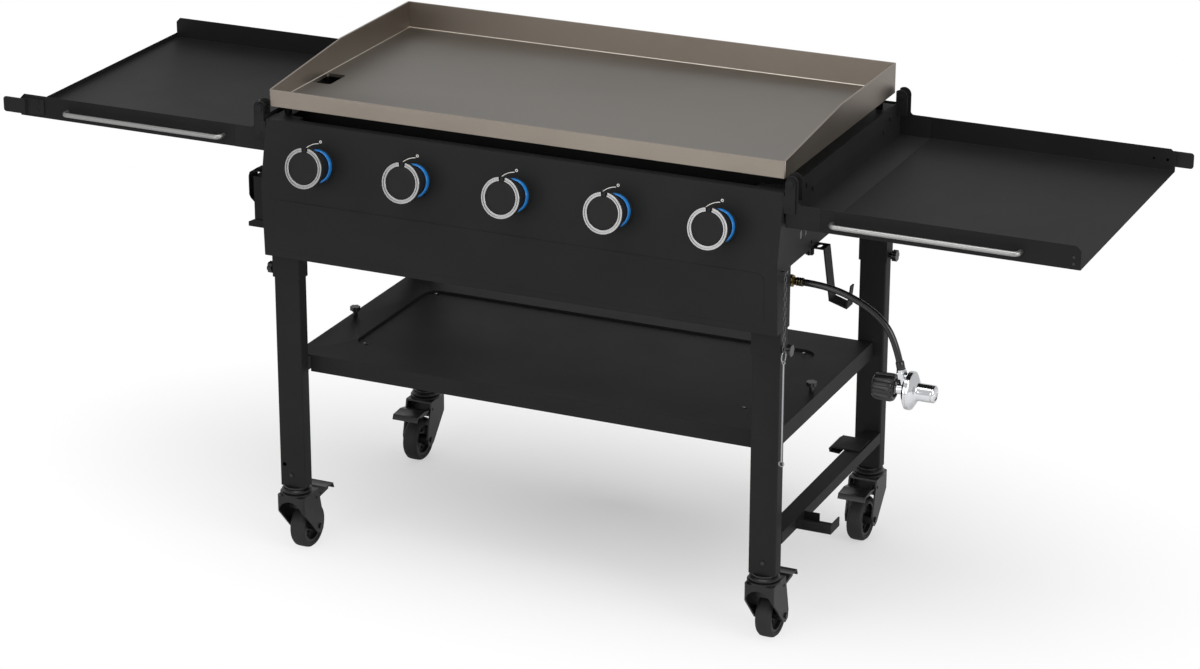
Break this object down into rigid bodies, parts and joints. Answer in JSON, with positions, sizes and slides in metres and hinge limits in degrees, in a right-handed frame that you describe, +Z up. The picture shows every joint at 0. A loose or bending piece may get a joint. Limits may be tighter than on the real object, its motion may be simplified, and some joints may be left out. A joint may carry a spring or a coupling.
{
  "type": "outdoor gas griddle station",
  "caption": "Castored outdoor gas griddle station with a steel griddle tray, burner knobs, folding side shelves, a lower shelf, a grease cup, and a hose with a regulator.",
  "frame": {"origin": "centre of the bounding box on the floor plane", "axes": "+X to the user's right along the shelves, +Y from the control panel to the back, +Z up"},
  "size_m": [1.935, 0.611, 0.8575],
  "materials": {
    "black_powder_coat": "fine matte black powder coat",
    "shelf_powder_coat": "fine matte black powder coat, slightly lighter on top",
    "caster_steel": "black coated pressed steel, slight gloss",
    "griddle_steel": "warm satin rolled steel",
    "stainless_steel": "satin stainless steel",
    "zinc_steel": "bright zinc plated steel",
    "chrome": "zinc alloy with bright plating",
    "brass": "machined brass",
    "knob_plastic": "matte black with a satin silver ring",
    "black_plastic": "moulded black plastic",
    "blue_plastic": "saturated blue plastic",
    "wheel_rubber": "matte black tread on a black hub",
    "hose_rubber": "glossy black hose"
  },
  "bodies": {
    "stand": {"control_panel": "black_powder_coat", "left_side_panel": "black_powder_coat", "right_side_panel": "black_powder_coat", "rear_panel": "black_powder_coat", "leg_sleeves": "black_powder_coat", "lower_rails": "black_powder_coat", "lower_shelf": "black_powder_coat", "cup_cradle": "black_powder_coat", "front_heat_shield": "black_powder_coat", "hinge_brackets": "black_powder_coat", "frame_screws": "zinc_steel", "thumb_knobs": "black_plastic", "caster_stems": "zinc_steel", "gas_manifold": "zinc_steel", "gas_valves": "brass", "burners": "stainless_steel", "knob_bezels": "blue_plastic", "leg_front_left": "black_powder_coat", "leg_front_right": "black_powder_coat", "leg_rear_left": "black_powder_coat", "leg_rear_right": "black_powder_coat", "gas_hose": "hose_rubber", "gas_inlet": "brass", "regulator": "chrome"},
    "griddle": {"griddle_plate": "griddle_steel"},
    "left_shelf": {"left_hinge_channel": "black_powder_coat", "left_shelf_tray": "shelf_powder_coat", "left_handle": "stainless_steel", "left_latch": "black_powder_coat"},
    "right_shelf": {"right_hinge_channel": "black_powder_coat", "right_shelf_tray": "shelf_powder_coat", "right_handle": "stainless_steel", "right_latch": "black_powder_coat"},
    "cup": {"grease_cup": "black_powder_coat"},
    "hook": {"tank_hook": "black_powder_coat"},
    "chain": {"lighting_chain": "zinc_steel"},
    "lighter_rod": {"lighting_rod": "zinc_steel"},
    "coupling_wheel": {"regulator_wheel": "black_plastic"},
    "plunger_1": {"valve_plunger_1": "brass"},
    "burner_knob_1": {"knob_1": "knob_plastic"},
    "plunger_2": {"valve_plunger_2": "brass"},
    "burner_knob_2": {"knob_2": "knob_plastic"},
    "plunger_3": {"valve_plunger_3": "brass"},
    "burner_knob_3": {"knob_3": "knob_plastic"},
    "plunger_4": {"valve_plunger_4": "brass"},
    "burner_knob_4": {"knob_4": "knob_plastic"},
    "plunger_5": {"valve_plunger_5": "brass"},
    "burner_knob_5": {"knob_5": "knob_plastic"},
    "fork_front_left": {"caster_fork_front_left": "caster_steel"},
    "wheel_front_left": {"caster_wheel_front_left": "wheel_rubber"},
    "pedal_front_left": {"brake_pedal_front_left": "caster_steel"},
    "fork_front_right": {"caster_fork_front_right": "caster_steel"},
    "wheel_front_right": {"caster_wheel_front_right": "wheel_rubber"},
    "pedal_front_right": {"brake_pedal_front_right": "caster_steel"},
    "fork_rear_left": {"caster_fork_rear_left": "caster_steel"},
    "wheel_rear_left": {"caster_wheel_rear_left": "wheel_rubber"},
    "pedal_rear_left": {"brake_pedal_rear_left": "caster_steel"},
    "fork_rear_right": {"caster_fork_rear_right": "caster_steel"},
    "wheel_rear_right": {"caster_wheel_rear_right": "wheel_rubber"},
    "pedal_rear_right": {"brake_pedal_rear_right": "caster_steel"}
  },
  "joints": [
    {"name": "griddle_lift", "type": "slide", "parent": "stand", "child": "griddle", "axis": [0, 0, 1], "range_m": [0, 0.008]},
    {"name": "left_shelf_fold", "type": "hinge", "parent": "stand", "child": "left_shelf", "pos_m": [-0.4705, 0.02956, 0.803], "axis": [0, 1, 0], "range_deg": [0, 180]},
    {"name": "right_shelf_fold", "type": "hinge", "parent": "stand", "child": "right_shelf", "pos_m": [0.4705, 0.02956, 0.803], "axis": [0, -1, 0], "range_deg": [0, 180]},
    {"name": "knob_1_push", "type": "slide", "parent": "stand", "child": "plunger_1", "axis": [0, 0.9775, -0.2109], "range_m": [0, 0.005], "stiffness_N_per_m": 400, "springref_m": -0.005},
    {"name": "knob_1_turn", "type": "hinge", "parent": "plunger_1", "child": "burner_knob_1", "pos_m": [-0.3551, -0.24466, 0.7222], "axis": [0, -0.9775, 0.2109], "range_deg": [0, 210]},
    {"name": "knob_2_push", "type": "slide", "parent": "stand", "child": "plunger_2", "axis": [0, 0.9775, -0.2109], "range_m": [0, 0.005], "stiffness_N_per_m": 400, "springref_m": -0.005},
    {"name": "knob_2_turn", "type": "hinge", "parent": "plunger_2", "child": "burner_knob_2", "pos_m": [-0.1768, -0.24466, 0.7222], "axis": [0, -0.9775, 0.2109], "range_deg": [0, 210]},
    {"name": "knob_3_push", "type": "slide", "parent": "stand", "child": "plunger_3", "axis": [0, 0.9775, -0.2109], "range_m": [0, 0.005], "stiffness_N_per_m": 400, "springref_m": -0.005},
    {"name": "knob_3_turn", "type": "hinge", "parent": "plunger_3", "child": "burner_knob_3", "pos_m": [0.0015, -0.24466, 0.7222], "axis": [0, -0.9775, 0.2109], "range_deg": [0, 210]},
    {"name": "knob_4_push", "type": "slide", "parent": "stand", "child": "plunger_4", "axis": [0, 0.9775, -0.2109], "range_m": [0, 0.005], "stiffness_N_per_m": 400, "springref_m": -0.005},
    {"name": "knob_4_turn", "type": "hinge", "parent": "plunger_4", "child": "burner_knob_4", "pos_m": [0.1798, -0.24466, 0.7222], "axis": [0, -0.9775, 0.2109], "range_deg": [0, 210]},
    {"name": "knob_5_push", "type": "slide", "parent": "stand", "child": "plunger_5", "axis": [0, 0.9775, -0.2109], "range_m": [0, 0.005], "stiffness_N_per_m": 400, "springref_m": -0.005},
    {"name": "knob_5_turn", "type": "hinge", "parent": "plunger_5", "child": "burner_knob_5", "pos_m": [0.3581, -0.24466, 0.7222], "axis": [0, -0.9775, 0.2109], "range_deg": [0, 210]},
    {"name": "front_left_swivel", "type": "hinge", "parent": "stand", "child": "fork_front_left", "pos_m": [-0.4326, -0.21344, 0.1275], "axis": [0, 0, 1], "continuous": true},
    {"name": "front_left_roll", "type": "hinge", "parent": "fork_front_left", "child": "wheel_front_left", "pos_m": [-0.4326, -0.18044, 0.04], "axis": [1, 0, 0], "continuous": true},
    {"name": "front_left_brake", "type": "hinge", "parent": "fork_front_left", "child": "pedal_front_left", "pos_m": [-0.4326, -0.18944, 0.0975], "axis": [-1, 0, 0], "range_deg": [0, 12]},
    {"name": "front_right_swivel", "type": "hinge", "parent": "stand", "child": "fork_front_right", "pos_m": [0.4326, -0.21344, 0.1275], "axis": [0, 0, 1], "continuous": true},
    {"name": "front_right_roll", "type": "hinge", "parent": "fork_front_right", "child": "wheel_front_right", "pos_m": [0.4326, -0.18044, 0.04], "axis": [1, 0, 0], "continuous": true},
    {"name": "front_right_brake", "type": "hinge", "parent": "fork_front_right", "child": "pedal_front_right", "pos_m": [0.4326, -0.18944, 0.0975], "axis": [-1, 0, 0], "range_deg": [0, 12]},
    {"name": "rear_left_swivel", "type": "hinge", "parent": "stand", "child": "fork_rear_left", "pos_m": [-0.4326, 0.27696, 0.1275], "axis": [0, 0, 1], "continuous": true},
    {"name": "rear_left_roll", "type": "hinge", "parent": "fork_rear_left", "child": "wheel_rear_left", "pos_m": [-0.4326, 0.24396, 0.04], "axis": [1, 0, 0], "continuous": true},
    {"name": "rear_left_brake", "type": "hinge", "parent": "fork_rear_left", "child": "pedal_rear_left", "pos_m": [-0.4326, 0.25296, 0.0975], "axis": [1, 0, 0], "range_deg": [0, 12]},
    {"name": "rear_right_swivel", "type": "hinge", "parent": "stand", "child": "fork_rear_right", "pos_m": [0.4326, 0.27696, 0.1275], "axis": [0, 0, 1], "continuous": true},
    {"name": "rear_right_roll", "type": "hinge", "parent": "fork_rear_right", "child": "wheel_rear_right", "pos_m": [0.4326, 0.24396, 0.04], "axis": [1, 0, 0], "continuous": true},
    {"name": "rear_right_brake", "type": "hinge", "parent": "fork_rear_right", "child": "pedal_rear_right", "pos_m": [0.4326, 0.25296, 0.0975], "axis": [1, 0, 0], "range_deg": [0, 12]},
    {"name": "cup_pull", "type": "slide", "parent": "stand", "child": "cup", "axis": [-1, 0, 0], "range_m": [0, 0.13]},
    {"name": "hook_shift", "type": "slide", "parent": "stand", "child": "hook", "axis": [0, -1, 0], "range_m": [0, 0.0115]},
    {"name": "chain_swing", "type": "hinge", "parent": "stand", "child": "chain", "pos_m": [0.466, -0.23469, 0.658], "axis": [-1, 0, 0], "range_deg": [0, 45]},
    {"name": "lighter_rod_swing", "type": "hinge", "parent": "chain", "child": "lighter_rod", "pos_m": [0.466, -0.23469, 0.5248], "axis": [0, -1, 0], "range_deg": [0, 30]},
    {"name": "coupling_wheel_turn", "type": "hinge", "parent": "stand", "child": "coupling_wheel", "pos_m": [0.61729, -0.17719, 0.46959], "axis": [1, 0, 0], "continuous": true}
  ]
}
